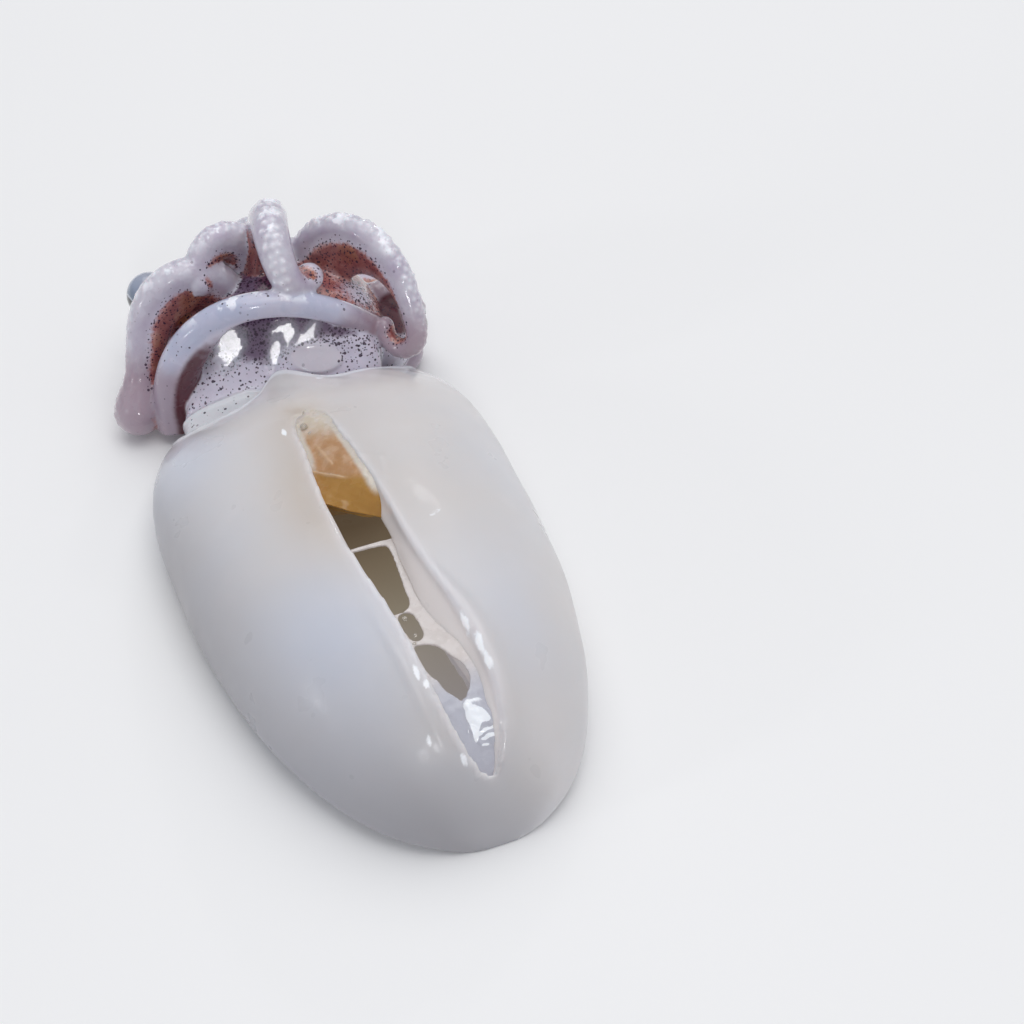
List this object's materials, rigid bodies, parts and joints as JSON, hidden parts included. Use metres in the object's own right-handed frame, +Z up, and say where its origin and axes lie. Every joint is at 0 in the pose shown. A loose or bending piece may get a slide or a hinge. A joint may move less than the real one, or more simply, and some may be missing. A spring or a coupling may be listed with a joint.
{
  "type": "raw cuttlefish",
  "caption": "Raw skinned cuttlefish: a hollow white mantle with an open slit along its back, and a speckled lilac head with its arms curled back over it.",
  "frame": {"origin": "middle of the mantle's flat underside, on the surface it lies on", "axes": "+Z up, +Y from the mantle's tip to the head, +X to the right seen from the tip"},
  "size_m": [0.0744, 0.1658, 0.0452],
  "materials": {
    "mantle_flesh": "wet, slightly translucent white flesh",
    "inner_tissue": "wet amber membrane",
    "speckled_skin": "wet lilac skin with dark spots, red-brown on the inside of the curls",
    "eye": "glossy blue-grey"
  },
  "bodies": {
    "root": {"mantle": "mantle_flesh", "inner_tissue": "inner_tissue", "head_and_arms": "speckled_skin", "eye_left": "eye", "eye_right": "eye"}
  },
  "joints": []
}
